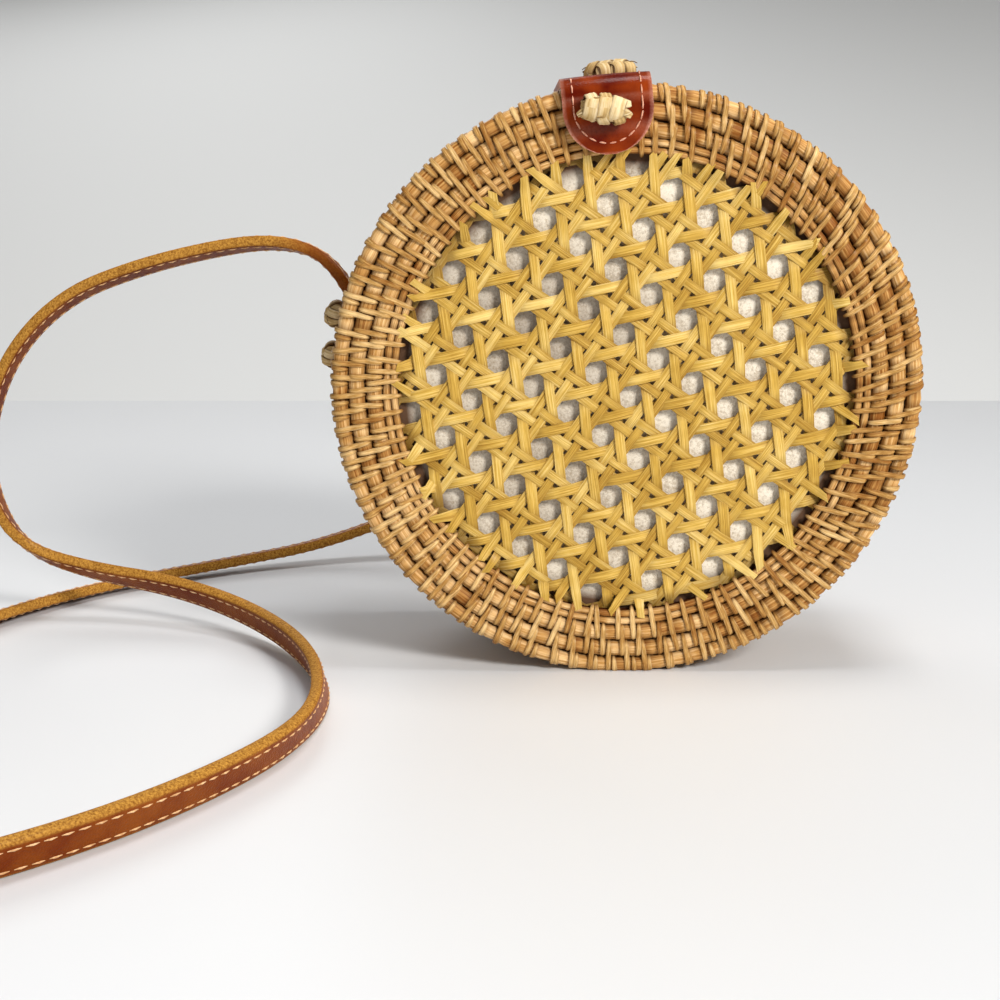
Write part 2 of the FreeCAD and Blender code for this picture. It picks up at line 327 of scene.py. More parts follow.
def clothFinish(name, dark, light, paintedShade):
    # Fine weave with faint stains, painted shade where the lit attribute is 0
    m, nodes, links, shader = startFinish(name)
    place = addNode(nodes, "ShaderNodeTexCoord")
    weave = addNode(nodes, "ShaderNodeTexNoise", Scale=1100.0, Detail=3.0, Roughness=0.75)
    stain = addNode(nodes, "ShaderNodeTexNoise", Scale=60.0, Detail=3.0)
    links.new(place.outputs["Object"], weave.inputs["Vector"])
    links.new(place.outputs["Object"], stain.inputs["Vector"])
    both = addNode(nodes, "ShaderNodeMath", operation="MULTIPLY_ADD")
    both.inputs[1].default_value = 0.7
    links.new(weave.outputs["Fac"], both.inputs[0])
    less = addNode(nodes, "ShaderNodeMath", operation="MULTIPLY")
    less.inputs[1].default_value = 0.3
    links.new(stain.outputs["Fac"], less.inputs[0])
    links.new(less.outputs[0], both.inputs[2])
    ramp = addRamp(nodes, [(0.36, dark), (0.56, light)])
    links.new(both.outputs[0], ramp.inputs["Fac"])
    addPaintedShade(nodes, links, shader, ramp, paintedShade)
    setInputs(shader, {"Roughness": 0.9, "Sheen Weight": 0.25})
    addRelief(nodes, links, shader, weave.outputs["Fac"], 0.6, 0.3)
    return m


liningFinish = clothFinish(
    "liningCloth", dark=(0.52, 0.43, 0.31), light=(0.88, 0.81, 0.68), paintedShade=(0.10, 0.045, 0.018))


def leatherFinish(name, dark, light, rawDark, rawLight, gloss, coat, coatRough, bump):
    # Smooth faces with fine pores, raw grainy edges where the edge attribute is 1
    m, nodes, links, shader = startFinish(name)
    place = addNode(nodes, "ShaderNodeTexCoord")
    pores = addNode(nodes, "ShaderNodeTexVoronoi", Scale=1400.0)
    cloud = addNode(nodes, "ShaderNodeTexNoise", Scale=85.0, Detail=4.0)
    grit = addNode(nodes, "ShaderNodeTexNoise", Scale=1300.0, Detail=3.0, Roughness=0.7)
    for n in (pores, cloud, grit):
        links.new(place.outputs["Object"], n.inputs["Vector"])
    face = addRamp(nodes, [(0.35, dark), (0.68, light)])
    links.new(cloud.outputs["Fac"], face.inputs["Fac"])
    raw = addRamp(nodes, [(0.36, rawDark), (0.62, rawLight)])
    links.new(grit.outputs["Fac"], raw.inputs["Fac"])
    edge = addNode(nodes, "ShaderNodeAttribute", attribute_name="edge")
    mix = addNode(nodes, "ShaderNodeMix", data_type="RGBA")
    links.new(edge.outputs["Fac"], mix.inputs["Factor"])
    links.new(face.outputs["Color"], mix.inputs["A"])
    links.new(raw.outputs["Color"], mix.inputs["B"])
    links.new(mix.outputs["Result"], shader.inputs["Base Color"])
    rough = addNode(nodes, "ShaderNodeMapRange")
    setInputs(rough, {"To Min": gloss, "To Max": 0.85})
    links.new(edge.outputs["Fac"], rough.inputs["Value"])
    links.new(rough.outputs["Result"], shader.inputs["Roughness"])
    setInputs(shader, {"Specular IOR Level": 0.06, "Coat Weight": coat, "Coat Roughness": coatRough})
    height = addNode(nodes, "ShaderNodeMix", data_type="FLOAT")
    links.new(edge.outputs["Fac"], height.inputs["Factor"])
    links.new(pores.outputs["Distance"], height.inputs["A"])
    links.new(grit.outputs["Fac"], height.inputs["B"])
    addRelief(nodes, links, shader, height.outputs["Result"], bump, 0.4)
    return m


tabFinish = leatherFinish(
    "tabLeather", dark=(0.09, 0.005, 0.001), light=(0.26, 0.036, 0.004), rawDark=(0.56, 0.21, 0.13),
    rawLight=(0.84, 0.46, 0.34), gloss=0.24, coat=0.07, coatRough=0.1, bump=0.12)
strapFinish = leatherFinish(
    "strapLeather", dark=(0.155, 0.025, 0.001), light=(0.25, 0.062, 0.005), rawDark=(0.21, 0.080, 0.011),
    rawLight=(0.52, 0.26, 0.046), gloss=0.40, coat=0.05, coatRough=0.25, bump=0.35)


def threadFinish(name, dark, light):
    m, nodes, links, shader = startFinish(name)
    place = addNode(nodes, "ShaderNodeTexCoord")
    twist = addNode(nodes, "ShaderNodeTexNoise", Scale=900.0, Detail=2.0)
    links.new(place.outputs["Object"], twist.inputs["Vector"])
    ramp = addRamp(nodes, [(0.35, dark), (0.65, light)])
    links.new(twist.outputs["Fac"], ramp.inputs["Fac"])
    links.new(ramp.outputs["Color"], shader.inputs["Base Color"])
    shader.inputs["Roughness"].default_value = 0.6
    return m


tabThread = threadFinish("tabThread", dark=(0.50, 0.18, 0.10), light=(0.80, 0.42, 0.28))
strapThread = threadFinish("strapThread", dark=(0.54, 0.27, 0.10), light=(0.79, 0.51, 0.26))
print("finishes made")


# Thin cane strips that bind the rows, each over two of them and beside the one before it
strips = {
    "count": 96, "width": 1.8, "thick": 0.7, "crown": 0.2, "beside": 0.30, "bunch": 0.045,
    "lean": 0.32, "pivot": 91.0, "rimFrom": 95.0, "tones": 0.2,
    "sway": 0.11, "drift": 0.05, "slant": 0.06, "loose": 0.14, "uneven": 0.18,  # out of place by hand
    "rim": {"rank": -1, "way": [
        (94.3, 38.0), (95.4, 39.7), (97.3, 40.35), (99.1, 39.6), (100.2, 38.0), (100.45, 36.2), (99.9, 34.9),
        (100.15, 33.6), (100.3, 32.1), (99.8, 30.4), (98.4, 29.2)]},
    "outer": {"rank": 0, "way": [
        (88.4, 38.0), (89.6, 39.9), (91.5, 40.45), (93.4, 40.1), (94.6, 39.6), (96.0, 40.2), (97.6, 40.4),
        (99.4, 39.4), (100.5, 37.6), (100.6, 35.9), (99.7, 34.2)]},
    "middle": {"rank": 1, "way": [
        (82.6, 37.9), (83.7, 39.8), (85.7, 40.4), (87.6, 40.1), (88.6, 39.7), (89.8, 40.2), (91.6, 40.45),
        (93.4, 40.0), (94.5, 38.1)]},
    "inner": {"rank": 2, "way": [
        (76.4, 37.3), (77.4, 38.7), (78.9, 39.4), (80.2, 39.2), (81.6, 39.55), (83.0, 39.5), (84.0, 40.0),
        (85.8, 40.4), (87.5, 40.0), (88.5, 38.2)]},
    "band": [  # radius, and depth in rows
        (98.4, 2), (99.7, 1.8), (100.25, 1.5), (99.7, 1.12), (99.6, 0.95), (100.25, 0.5), (99.7, 0.2),
        (98.4, 0)]}


def leanAt(angle):  # strips lean on the right and stand straight on the left
    return -strips["lean"] * np.maximum(np.sin(angle + 0.3), 0)


def stripsAt(angle, radius, rank):
    straight = angle - leanAt(angle) * (radius - strips["pivot"]) / strips["pivot"]
    home = straight - strips["bunch"] * np.sin(2 * straight)
    return np.cos(strips["count"] * home - 2 * math.pi * strips["beside"] * rank)


# Coiled rods of the two faces: three wide rows and two thin ones beside the open cane
rods = {
    "rows": [  # radius, half width, half height, depth of the middle, mm
        (97.25, 2.75, 2.4, 37.4), (91.6, 3.0, 2.35, 37.55), (85.75, 2.9, 2.35, 37.55),
        (81.5, 1.35, 1.25, 37.9), (78.9, 1.3, 1.2, 37.8)],
    "bandRows": 6, "bandRadius": 97.5, "bandHeight": 2.35, "bandHalf": 2.85,
    "bandStart": 3.2, "bandPitch": 5.78,
    "ranks": [-0.5, 0.5, 1.5, 2, 2],  # where the strips press on each row, in strips from the rim inwards
    "around": 480, "section": 10, "pillow": 0.3, "rightShade": 0.12, "tones": 0.22,
    "waves": (3, 7, 13, 29), "swell": (0.02, 0.10),
    "ringWall": {"radii": (77.8, 97.0), "depths": (36.0, 36.0), "thick": 1.2},  # dark walls of painted shade behind the rods
    "drumWall": {"radii": (96.0, 96.0), "depths": (0.6, 34.6), "thick": 1.6}}


def rightShadeAt(angle):  # painted shade: browner and darker towards the right
    return rods["rightShade"] * np.sin(angle + 0.4)


def addRod(radius, halfRadial, halfAxial, depth, side, rng, outward, rank):
    deselectAll()
    bpy.ops.mesh.primitive_torus_add(
        major_radius=radius * mm, minor_radius=halfRadial * mm, major_segments=rods["around"],
        minor_segments=rods["section"], rotation=(math.pi / 2, 0, 0))
    rod = bpy.context.active_object
    rod.scale.z = halfAxial / halfRadial
    settle(rod)
    p = readPoints(rod)
    angle = np.arctan2(p[:, 0], p[:, 2])
    run = np.hypot(p[:, 0], p[:, 2])
    swell = np.zeros(len(p))
    for k in rods["waves"]:  # uneven by hand
        swell += rng.uniform(*rods["swell"]) * np.sin(k * angle + rng.uniform(0, 6.28))
    onFace = side * p[:, 1] / (halfAxial * mm)
    onRim = (run / mm - radius) / halfRadial
    height = {"face": onFace, "rim": onRim, "edge": np.maximum(onFace, onRim)}[outward]
    pressed = stripsAt(angle, radius, rank)  # 1 under a strip, -1 half way between two
    puff = 1 - rods["pillow"] * 0.25 * (1 + pressed) * np.clip(height, 0, 1)
    run = radius * mm + (run - radius * mm) * puff + swell * mm
    p[:, 0] = run * np.sin(angle)
    p[:, 2] = run * np.cos(angle)
    p[:, 1] = p[:, 1] * puff + side * (depth + swell) * mm
    writePoints(rod, p)
    cell = np.floor((angle / (2 * math.pi) + 0.5) * strips["count"] + rank * strips["beside"]).astype(int)
    shades = np.array([rng.gauss(0.5, rods["tones"]) for _ in range(strips["count"] * 2)])
    writeTone(rod, np.clip(shades[cell % len(shades)] - rightShadeAt(angle), 0, 1))
    lit = np.clip((height - 0.22) / 0.55, 0.02, 1) * np.clip(1.2 - 0.75 * np.maximum(pressed, 0), 0.3, 1)
    writeTone(rod, lit, "lit")  # painted shade: dark where rods meet and beside the strips
    return rod


def addBacking(wall, side, way):  # dark wall of painted shade, so that nothing shows between the rods
    sheet, across, along = addGrid(1, 160)
    radius = np.where(across > 0, wall["radii"][1], wall["radii"][0])
    depth = np.where(across > 0, wall["depths"][1], wall["depths"][0])
    writePoints(sheet, roundBag(radius, side * depth, along * 2 * math.pi * way))
    writeTone(sheet, np.zeros(len(radius)), "lit")
    closeShell(sheet)
    return thicken(sheet, wall["thick"])


def bindRows(strip, side, sway, rng, steps=14):
    sheet, across, along = addGrid(2, steps)
    way, length = smoothWay(strip["way"], along)
    ahead, _ = smoothWay(strip["way"], np.minimum(along + 0.02, 1))
    behind, _ = smoothWay(strip["way"], np.maximum(along - 0.02, 0))
    run = unit(ahead - behind)
    crown = strips["crown"] * (1 - across ** 2)
    radius = way[:, 0] - run[:, 1] * crown
    depth = way[:, 1] + run[:, 0] * crown
    taper = (0.5 + 0.5 * np.clip(along / 0.3, 0, 1) ** 0.7) * (1 - 0.25 * along ** 4)
    wide = strips["width"] / 2 * across * taper
    writePoints(sheet, np.stack([-side * wide, side * depth, radius], 1) * mm)
    writeUv(sheet, across, along * length * mm)
    # painted shade: darker at both ends, where the strip goes under, and along its edges
    ends = np.clip(np.minimum(along, 1 - along) / 0.13, 0.12, 1)
    writeTone(sheet, ends * (1 - 0.42 * across ** 2), "lit")
    thicken(sheet, strips["thick"], -1)
    step = 2 * math.pi / strips["count"]
    turner = bpy.data.objects.new("turner", None)
    scene.collection.objects.link(turner)
    turner.rotation_euler = (0, step, 0)
    rows = sheet.modifiers.new("rows", "ARRAY")
    rows.count = strips["count"]
    rows.use_relative_offset = False
    rows.use_object_offset = True
    rows.offset_object = turner
    applyMods(sheet)
    bpy.data.objects.remove(turner)
    p = readPoints(sheet).reshape(strips["count"], -1, 3)
    run = np.hypot(p[..., 0], p[..., 2])
    angle = np.arctan2(p[..., 0], p[..., 2])
    home = np.arange(strips["count"]) * step
    drift = strip["rank"] * strips["beside"] + sway + np.array([rng.gauss(0, strips["drift"]) for _ in home])
    slant = leanAt(home) + np.array([rng.gauss(0, strips["slant"]) for _ in home])
    pivot = strips["pivot"] * mm
    angle += (drift * step + strips["bunch"] * np.sin(2 * home))[:, None]
    angle += slant[:, None] * (run - pivot) / pivot
    loose = np.array([rng.uniform(-strips["loose"], strips["loose"]) for _ in home])[:, None]
    run += loose * mm * (run > strips["rimFrom"] * mm)
    uneven = np.array([rng.uniform(-strips["uneven"], strips["uneven"]) for _ in home])[:, None]
    p[..., 1] += side * uneven * mm
    p[..., 0] = run * np.sin(angle)
    p[..., 2] = run * np.cos(angle)
    writePoints(sheet, p.reshape(-1, 3))
    tones = np.array([rng.gauss(0.5, strips["tones"]) for _ in home]) - rightShadeAt(home)
    writeTone(sheet, np.repeat(np.clip(tones, 0, 1), p.shape[1]))
    return sheet


def standRattan(parts, name, finish, word, *nodes):  # one piece of rods or strips, on its half of the bag
    piece = joinAs(parts, name)
    softShade(restOnFloor(ontoBag(piece)), 60)
    give(piece, finish, word + "_half", "woven_rattan", *nodes)


def faceRing(word, side, sway, seed):
    rng = random.Random(seed)
    outwards = ["edge"] + ["face"] * (len(rods["rows"]) - 1)
    rows = zip(rods["rows"], outwards, rods["ranks"])
    parts = [addRod(*row, side, rng, outward, rank) for row, outward, rank in rows]
    parts.append(addBacking(rods["ringWall"], side, -side))
    standRattan(parts, word + "_ring_rods", rodFinish, word, word + "_face_ring", word + "_inner_hoop")
    parts = [bindRows(strips[level], side, sway, rng) for level in ("rim", "outer", "middle", "inner")]
    standRattan(parts, word + "_ring_strips", stripFinish, word, word + "_face_ring")
    print(word, "ring bound")


def sideBand(word, side, sway, seed):
    rng = random.Random(seed)
    pitch = rods["bandPitch"]
    size = (rods["bandRadius"], rods["bandHeight"], rods["bandHalf"])
    parts = []
    for row in range(rods["bandRows"]):
        depth = rods["bandStart"] + row * pitch
        parts.append(addRod(*size, depth, side, rng, "rim", row - rods["bandRows"] - 0.5))
    parts.append(addBacking(rods["drumWall"], side, side))
    standRattan(parts, word + "_band_rods", rodFinish, word, word + "_side_band")
    parts = []
    for level in range(rods["bandRows"] - 1):  # each strip over two rows of the band
        low = rods["bandStart"] - pitch / 2 + level * pitch
        way = [(radius, low + share * pitch) for radius, share in strips["band"]]
        parts.append(bindRows({"rank": level - rods["bandRows"], "way": way}, side, sway, rng, 12))
    standRattan(parts, word + "_band_strips", stripFinish, word, word + "_side_band")
    print(word, "band bound")


# Open cane: pairs both ways, and a diagonal each way, over one pair and under the other
cane = {
    "pitchA": 14.6, "pitchB": 15.9, "angle": -40.0, "phaseA": 0.2, "phaseB": 0.1,
    "gapA": 1.9, "gapB": 2.25, "pairWidth": 3.0, "diagonalWidth": 3.45, "thick": 0.8, "crown": 0.16,
    "pairLift": 0.34, "diagonalLift": 0.78, "depth": 37.25, "rim": 79.0, "shortest": 26.0, "step": 1.5,
    "crossing": 0.14, "tipFrom": 74.5, "tipRun": 3.0, "riseFrom": 72.5, "riseRun": 4.5,
    "over": 2.0, "under": -1.3,  # where an end goes, over the thin rods or under them
    "uneven": (-1.2, 2.2), "wobble": 0.16, "cut": 1.3, "roll": 0.06, "tones": 0.16}


def latticeToBag(u, v):
    a = math.radians(cane["angle"])
    return u * math.cos(a) + v * math.sin(a), u * math.sin(a) - v * math.cos(a)


def near(share, centre):  # 1 at the crossing, fading to 0
    d = (share - centre + 0.5) % 1 - 0.5
    return np.exp(-(d / cane["crossing"]) ** 2)


def caneStrand(kind, start, end, width, sign, side, rng):
    start = np.array(start)
    end = np.array(end)
    length = np.linalg.norm(end - start)
    steep = length / 2 > 0.75 * cane["rim"]  # a strand that meets the ring squarely may go over the thin rods
    over = [rng.choice((0.0, 1.0, 1.0)) * steep for _ in range(2)]
    start = start + (start - end) / length * over[0] * rng.uniform(*cane["uneven"])  # of uneven length there
    end = end + (end - start) / length * over[1] * rng.uniform(*cane["uneven"])
    length = np.linalg.norm(end - start)
    sheet, across, along = addGrid(2, max(6, int(length / cane["step"])))
    direction = (end - start) / length
    normal = np.array([-direction[1], direction[0]])
    wobble = np.zeros(len(along))
    for k in (1, 2, 4):
        much = rng.uniform(-cane["wobble"], cane["wobble"])
        wobble += much * np.sin(k * math.pi * along * length / 60 + rng.uniform(0, 6.28))
    size = width * rng.uniform(0.92, 1.08)
    middle = start + direction * (along * length)[:, None] + normal * wobble[:, None]
    reach = np.hypot(middle[:, 0], middle[:, 1])
    tip = np.clip((reach - cane["tipFrom"]) / cane["tipRun"], 0, 1)
    place = middle + normal * (across * (1 - 0.22 * tip) * size / 2)[:, None]
    cut = rng.uniform(-cane["cut"], cane["cut"])
    place += direction * (across * tip * cut)[:, None]  # ends cut on the slant
    shareU = middle[:, 0] / cane["pitchA"] - cane["phaseA"]
    shareV = middle[:, 1] / cane["pitchB"] - cane["phaseB"]
    gapU = cane["gapA"] / cane["pitchA"]
    gapV = cane["gapB"] / cane["pitchB"]
    if kind == "along":
        lift = sign * cane["pairLift"] * (near(shareU, 0.5 - gapU) - near(shareU, 0.5 + gapU))
    elif kind == "cross":
        lift = sign * cane["pairLift"] * (near(shareV, 0.5 + gapV) - near(shareV, 0.5 - gapV))
    else:
        lift = sign * cane["diagonalLift"] * np.tanh(1.7 * np.cos(2 * math.pi * shareU))
    roll = rng.uniform(-cane["roll"], cane["roll"])
    roll = roll + 0.07 * np.sin(along * length / rng.uniform(9, 15) + rng.uniform(0, 6.28))
    rise = np.clip((reach - cane["riseFrom"]) / cane["riseRun"], 0, 1)
    ends = np.where(along < 0.5, over[0], over[1])
    lift = lift * (1 - rise) + rise * np.where(ends > 0, cane["over"], cane["under"])
    height = lift + across * size / 2 * roll + cane["crown"] * (1 - across ** 2)
    # painted shade: strands lying low are darker, so are their edges, and ends under the thin rods darker
    # still
    lit = np.clip(0.82 + 0.27 * lift / cane["diagonalLift"], 0.45, 1) * (1 - 0.24 * across ** 2)
    lit = lit * (1 - rise) + rise * np.where(ends > 0, 0.8, 0.3)
    x, z = latticeToBag(place[:, 0], place[:, 1])
    writePoints(sheet, np.stack([-side * x, side * (cane["depth"] + height), z], 1) * mm)
    writeUv(sheet, across, along * length * mm)
    writeTone(sheet, np.full(len(along), np.clip(rng.gauss(0.5, cane["tones"]), 0, 1)))
    writeTone(sheet, lit, "lit")
    return sheet


def clipToRim(base, direction, rim):
    b = base @ direction
    c = base @ base - rim ** 2
    if b * b - c <= 0:
        return None
    root = math.sqrt(b * b - c)
    return base + direction * (-b - root), base + direction * (-b + root), 2 * root


def canePanel(word, side, seed):
    rng = random.Random(seed)
    strands = []
    a, b = cane["pitchA"], cane["pitchB"]

    def lay(kind, base, direction, width, sign):
        d = np.array(direction, float)
        d /= np.linalg.norm(d)
        cut = clipToRim(np.array(base, float), d, cane["rim"] + rng.uniform(-0.8, 1.2))
        if cut and cut[2] > cane["shortest"]:
            strands.append(caneStrand(kind, cut[0], cut[1], width, sign, side, rng))

    for k in range(-7, 8):
        u = (k + 0.5 + cane["phaseA"]) * a
        v = (k + 0.5 + cane["phaseB"]) * b
        for sign in (1, -1):
            lay("along", (0, v + sign * cane["gapB"]), (1, 0), cane["pairWidth"], sign)
            lay("cross", (u + sign * cane["gapA"], 0), (0, 1), cane["pairWidth"], sign)
    for k in range(-14, 15):
        base = ((k + 0.5 + cane["phaseA"]) * a, cane["phaseB"] * b)
        for sign in (1, -1):
            lay("diagonal", base, (a, -sign * b), cane["diagonalWidth"], sign)
    panel = thicken(joinAs(strands, word + "_open_cane"), cane["thick"], -1)
    softShade(ontoBag(panel), 50)
    give(panel, webFinish, word + "_half", "cane_webbing", word + "_cane_panel")
    print(word, "cane laid,", len(strands), "strands")


# Cloth inside: a disc behind the cane and a strip round the wall
lining = {"radius": 94.4, "disc": 34.4, "wallRadius": 94.15, "wallEnd": 1.6, "corner": 0.6, "thick": 0.7,
          "dents": 6, "rimShadeAt": 75.5, "sagShade": 0.55}


def liningPieces(word, side, seed):
    rng = random.Random(seed)
    sheet, across, along = addGrid(30, 120)
    run = (across + 1) / 2 * lining["radius"]
    angle = along * 2 * math.pi * side
    ranges = ((-60, 60), (-60, 60), (18, 34), (0.1, 0.5))  # place, spread and depth of a dent, mm
    dents = [[rng.uniform(*r) for r in ranges] for _ in range(lining["dents"])]

    def slack(x, z):  # how far the cloth hangs back
        far = [(np.hypot(x - atX, z - atZ) / spread, deep) for atX, atZ, spread, deep in dents]
        return sum(deep * np.exp(-share ** 2) for share, deep in far)

    hang = slack(run * np.sin(angle), run * np.cos(angle))
    writePoints(sheet, roundBag(run, side * (lining["disc"] - hang), angle))
    closeShell(sheet)
    thicken(sheet, lining["thick"])
    p = readPoints(sheet) / mm
    paintedLit = np.clip((lining["rimShadeAt"] - np.hypot(p[:, 0], p[:, 2])) / 5, 0, 1)  # painted shade beside the ring
    # painted shade, darker where the cloth hangs further back
    paintedLit *= 1 - lining["sagShade"] * slack(p[:, 0], p[:, 2])
    writeTone(sheet, np.where(readNormals(sheet)[:, 1] * side > 0, paintedLit, 1), "lit")  # pale inside the bag
    sheet.name = word + "_lining_cloth"
    softShade(ontoBag(sheet), 60)
    give(sheet, liningFinish, word + "_half", "lining_cloth", word + "_lining_disc")
    wall, across, along = addGrid(6, 180)
    angle = along * 2 * math.pi * side
    depth = lining["wallEnd"] + (across + 1) / 2 * (lining["disc"] - lining["corner"] - lining["wallEnd"])
    ripple = 0.15 * np.sin(40 * angle) * (1 - np.abs(across)) + 0.1 * np.sin(17 * angle + 1)
    writePoints(wall, roundBag(lining["wallRadius"] + ripple, side * depth, angle))
    writeTone(wall, np.ones(len(depth)), "lit")
    closeShell(wall)
    thicken(wall, lining["thick"])
    wall.name = word + "_lining_strip"
    softShade(ontoBag(wall), 60)
    give(wall, liningFinish, word + "_half", "lining_cloth", word + "_lining_wall")
    print(word, "lined")


for word, side, seed in (("front", front, 11), ("back", back, 47)):
    handRng = random.Random(seed + 5)
    sway = np.array([handRng.gauss(0, strips["sway"]) for _ in range(strips["count"])])  # of whole columns
    faceRing(word, side, sway, seed)
    sideBand(word, side, sway, seed + 1)
    canePanel(word, side, seed + 2)
    liningPieces(word, side, seed + 3)


# Knots of flat cane: bands wrapped across one another round a core, with loose tails
knot = {"band": 4.4, "thick": 1.25, "steps": 44, "core": (0.86, 0.74, 0.74), "squeeze": 0.3,
        "tail": 2.4, "tailThick": 0.7, "fray": 0.55, "frayThick": 0.3}


def caneBand(line, out, width, thick, tone, closed):  # flat band along a line, its broad side outwards
    outline = np.array([(-1, -0.4), (-0.75, -1), (0.75, -1), (1, -0.4), (1, 0.3), (0.74, 0.9), (0.36, 0.82),
                        (0, 1), (-0.36, 0.82), (-0.74, 0.9), (-1, 0.3)])  # three fibres wide
    # painted shade: darker on the under side and in the grooves between the fibres
    shade = np.array([0.12, 0.1, 0.1, 0.12, 0.3, 0.92, 0.86, 1.0, 0.86, 0.92, 0.3])
    n, steps = len(outline), len(line)
    run = unit(np.roll(line, -1, 0) - np.roll(line, 1, 0) if closed else np.gradient(line, axis=0))
    wide = unit(np.cross(out, run))
    flat = np.cross(run, wide)
    rows = steps if closed else steps - 1
    sheet, across, along = addGrid(n, rows)
    around = np.rint((across + 1) / 2 * n).astype(int) % n
    i = np.rint(along * rows).astype(int) % steps
    taper = np.ones(steps) if closed else 1 - 0.4 * np.linspace(0, 1, steps) ** 3
    section = outline[around] * taper[i, None] / 2
    points = line[i] + wide[i] * section[:, :1] * width + flat[i] * section[:, 1:] * thick
    writePoints(sheet, points * mm)
    writeUv(sheet, around / n, along * wayGone(line)[-1] * mm)
    writeTone(sheet, np.full(len(points), tone))
    writeTone(sheet, shade[around], "lit")
    closeShell(sheet, 0.01, True)
    return sheet


def boxy(wave):
    return np.sign(wave) * np.abs(wave) ** 0.8


def bandKnot(name, shape, seed):
    rng = random.Random(seed)
    long, high, deep = (size / 2 for size in shape["size"])
    core, across, along = addGrid(12, 20)
    lat = across * math.pi / 2
    turn = along * 2 * math.pi
    ball = np.stack([np.cos(lat) * np.cos(turn), np.cos(lat) * np.sin(turn), np.sin(lat)], 1)
    writePoints(core, ball * (long, high, deep) * knot["core"] * mm)
    writeUv(core, along, (across + 1) / 2)
    writeTone(core, np.full(len(ball), 0.3))
    # painted shade: the core, between the bands, is half dark
    writeTone(core, np.full(len(ball), 0.5), "lit")
    closeShell(core, 0.01)
    parts = [core]
    thick = knot["thick"]
    turn = np.linspace(0, 2 * math.pi, knot["steps"], endpoint=False)
    for k, (place, slope, share) in enumerate(shape["bands"]):  # each band goes once round
        x = place + slope * np.sin(turn) * high + 0.25 * np.sin(2 * turn + rng.uniform(0, 6.28))
        x = np.clip(x, -long * 0.9, long * 0.9)
        ring = np.maximum(1 - np.abs(x / long) ** 4, 0.1) ** 0.25  # boxy, as folded cane is
        over = 0.55 * np.cos(2 * turn + math.pi * k + rng.uniform(-0.4, 0.4)) - 0.5
        y = boxy(np.sin(turn)) * (ring * high - thick / 2 + over)
        z = boxy(np.cos(turn)) * (ring * deep - thick / 2 + over)
        out = unit(np.stack([x / long ** 2 * 0.5, y / high ** 2, z / deep ** 2], 1))
        line = np.stack([x, y, z], 1)
        parts.append(caneBand(line, out, knot["band"] * share, thick, rng.uniform(0.3, 0.95), True))
    for tilt in (0.25, -0.3):  # two bands lengthwise close the ends
        y = tilt * high * np.sin(2 * turn + 0.6)
        line = np.stack([np.cos(turn) * long * 0.9, y, np.sin(turn) * deep * 0.7], 1)
        out = np.stack([np.cos(turn) / long, 0 * turn, np.sin(turn) / deep], 1)
        parts.append(caneBand(line, out, knot["band"] * 0.9, thick, rng.uniform(0.3, 0.8), True))
    for side in shape["frays"]:  # loose fibres at the ends
        t = np.linspace(0, 1, 8)
        bend = rng.uniform(-1, 1)
        x = side * (long * 0.75 + t * (long * 0.25 + 1.1))
        y = high * (rng.uniform(-0.6, 0.6) + 0.35 * bend * t ** 2)
        line = np.stack([x, y, deep * (0.62 + 0.3 * t - 0.45 * t ** 2)], 1)
        out = np.tile((0.1, 0.2, 1.0), (len(t), 1))
        parts.append(caneBand(line, out, knot["fray"], knot["frayThick"], rng.uniform(0.5, 1.0), False))
    for side, rise, lift in shape["tails"]:
        t = np.linspace(0, 1, 12)
        x = side * (long * 0.55 + t * (long * 0.5 + 0.6))
        y = rise * high * (0.35 + 0.5 * t) + 0.5 * np.sin(3 * t + rng.uniform(0, 6))
        line = np.stack([x, y, lift * deep * (0.4 + 0.25 * np.sin(math.pi * t))], 1)
        out = np.tile((0.1, 0.2 * rise, 1.0), (len(t), 1))
        width = knot["tail"] * rng.uniform(0.8, 1.3)
        parts.append(caneBand(line, out, width, knot["tailThick"], rng.uniform(0.4, 1.0), False))
    lump = joinAs(parts, name)
    p = readPoints(lump)
    for k in range(3):  # squeezed out of true by hand
        wave = np.array([rng.uniform(-1, 1) for _ in range(3)]) / (6 * mm)
        shove = np.array([rng.uniform(-1, 1) for _ in range(3)])
        p += knot["squeeze"] * mm * np.sin(p @ wave + rng.uniform(0, 6.28))[:, None] * shove
    writePoints(lump, p)
    return softShade(lump, 50)


def addNeck(lump, neck):  # flat cane from inside the knot down through the leather to the rods
    parts = [lump]
    z = np.linspace(-1, -neck["reach"], 9)
    out = np.tile((0.0, 1.0, 0.0), (len(z), 1))
    for x, y in neck["canes"]:
        line = np.stack([np.full(len(z), x), y + 0.1 * np.sin(z + x), z], 1)
        parts.append(caneBand(line, out, neck["wide"], knot["thick"], 0.5, False))
    softShade(joinAs(parts, lump.name), 50)


closure = {
    "offset": -1.5, "radius": 91.6, "depth": 47.7, "tilt": 4.0, "size": (15.4, 10.2, 8.6),
    "bands": [(-4.2, 0.30, 1.1), (-2.4, -0.45, 0.9), (4.2, 0.22, 1.1), (2.6, -0.45, 0.9), (0.2, 0.30, 1.2)],
    "tails": [(-1, -0.45, 0.8), (1, -0.55, 0.85), (1, 0.45, 0.7)], "frays": (-1, 1),
    "neck": {"reach": 9.8, "wide": 3.3, "canes": [(-1.8, 0.65), (1.8, 0.65), (0, -0.65)]}}
closureKnot = bandKnot("closure_knot_cane", closure, 5)
addNeck(closureKnot, closure["neck"])
closureKnot.rotation_euler = (math.radians(90), math.radians(closure["tilt"]), 0)
closureKnot.location = Vector((closure["offset"], -closure["depth"], closure["radius"])) * mm
ontoBag(settle(closureKnot))
give(closureKnot, knotFinish, "front_half", "twisted_cane", "closure_knot")
